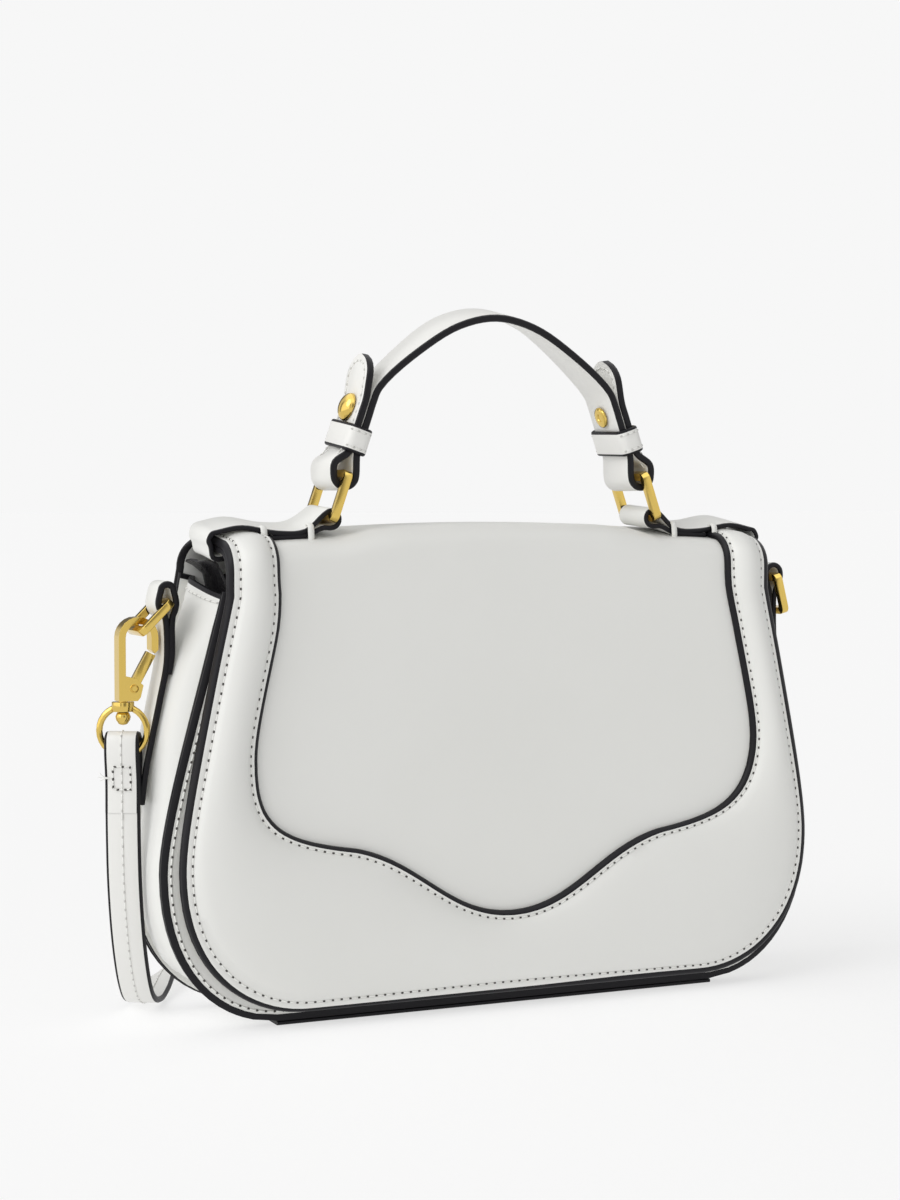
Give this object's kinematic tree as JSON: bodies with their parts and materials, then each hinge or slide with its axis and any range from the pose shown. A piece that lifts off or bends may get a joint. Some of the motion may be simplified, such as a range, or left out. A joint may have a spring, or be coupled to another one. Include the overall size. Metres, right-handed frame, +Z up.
{
  "type": "crossbody bag",
  "caption": "Structured leather crossbody bag with a hinged flap and padded overlay, a top handle on rings, side rings and a long strap with swivel snap hooks.",
  "frame": {"origin": "middle of the base's underside, on the surface that the bag stands on", "axes": "+X across the bag to the viewer's right, -Y towards the front flap, +Z up"},
  "size_m": [0.2666, 0.1278, 0.2452],
  "materials": {
    "leather": "smooth white leather with black painted edges",
    "base": "black base leather",
    "lining": "glossy black lining",
    "suede": "pale grey flap lining",
    "gold": "satin gold plating",
    "steel": "plain steel",
    "tie": "black woven band"
  },
  "bodies": {
    "body": {"front_panel": "leather", "back_panel": "leather", "gusset_left": "leather", "gusset_right": "leather", "gusset_bottom": "leather", "base_panel": "base", "lining": "lining", "body_magnet": "steel", "side_tab_left": "leather", "side_tab_right": "leather", "strap_drop": "leather", "strap_coil": "leather", "coil_tie": "tie", "strap_end_far": "leather", "swivel_ring_far": "gold"},
    "flap": {"flap_panel": "leather", "flap_lining": "suede", "flap_overlay": "leather", "flap_magnet": "steel", "handle_tab_left": "leather", "handle_tab_right": "leather"},
    "ring_of_handle_left": {"handle_ring_left": "gold"},
    "ring_of_handle_right": {"handle_ring_right": "gold"},
    "handle": {"handle_strap": "leather", "handle_keeper_left": "leather", "handle_keeper_right": "leather", "handle_stud_left": "gold", "handle_stud_right": "gold", "handle_stud_base_left": "gold", "handle_stud_base_right": "gold"},
    "strap_left": {"side_ring_left": "gold", "swivel_ring_left": "gold", "strap_end_left": "leather"},
    "hook_left": {"snap_hook_left": "gold", "gate_pin_left": "gold", "swivel_stud_left": "gold"},
    "gate_left": {"snap_gate_left": "gold", "gate_spring_left": "steel"},
    "ring_right": {"side_ring_right": "gold"},
    "hook_far": {"snap_hook_far": "gold", "gate_pin_far": "gold", "swivel_stud_far": "gold"},
    "gate_far": {"snap_gate_far": "gold", "gate_spring_far": "steel"}
  },
  "joints": [
    {"name": "flap_hinge", "type": "hinge", "parent": "body", "child": "flap", "pos_m": [0, 0.0202, 0.15415], "axis": [-1, 0, 0], "range_deg": [0, 120]},
    {"name": "handle_ring_left_turn", "type": "hinge", "parent": "flap", "child": "ring_of_handle_left", "pos_m": [-0.063, -0.00555, 0.1722], "axis": [0, 1, 0], "range_deg": [-15, 15]},
    {"name": "handle_sway", "type": "hinge", "parent": "ring_of_handle_left", "child": "handle", "pos_m": [-0.05792, -0.00555, 0.18695], "axis": [0, 1, 0], "range_deg": [-17, 17]},
    {"name": "handle_ring_right_turn", "type": "hinge", "parent": "flap", "child": "ring_of_handle_right", "pos_m": [0.063, -0.00555, 0.1722], "axis": [0, 1, 0], "range_deg": [-15, 15]},
    {"name": "left_strap_swing", "type": "hinge", "parent": "body", "child": "strap_left", "pos_m": [-0.1186, 0, 0.1436], "axis": [0, 1, 0], "range_deg": [0, 10]},
    {"name": "left_hook_swivel", "type": "hinge", "parent": "strap_left", "child": "hook_left", "pos_m": [-0.13259, 0, 0.10717], "axis": [0, 0, 1], "range_deg": [-12, 12]},
    {"name": "left_gate", "type": "hinge", "parent": "hook_left", "child": "gate_left", "pos_m": [-0.12939, 0, 0.11487], "axis": [0, -1, 0], "range_deg": [0, 25], "stiffness_Nm_per_rad": 0.02, "springref_deg": -17.19},
    {"name": "right_ring_swing", "type": "hinge", "parent": "body", "child": "ring_right", "pos_m": [0.1206, 0, 0.1492], "axis": [0, 1, 0], "range_deg": [-80, 1]},
    {"name": "far_hook_swivel", "type": "hinge", "parent": "body", "child": "hook_far", "pos_m": [-0.022, 0.049, 0.0038], "axis": [1, 0, 0], "range_deg": [0, 90]},
    {"name": "far_gate", "type": "hinge", "parent": "hook_far", "child": "gate_far", "pos_m": [-0.0297, 0.0522, 0.0038], "axis": [0, 0, 1], "range_deg": [0, 25], "stiffness_Nm_per_rad": 0.02, "springref_deg": -17.19}
  ],
  "couplings": [
    {"joint": "handle_sway", "follows": "handle_ring_left_turn", "ratio": -1.0877},
    {"joint": "handle_ring_right_turn", "follows": "handle_ring_left_turn", "ratio": 1}
  ]
}
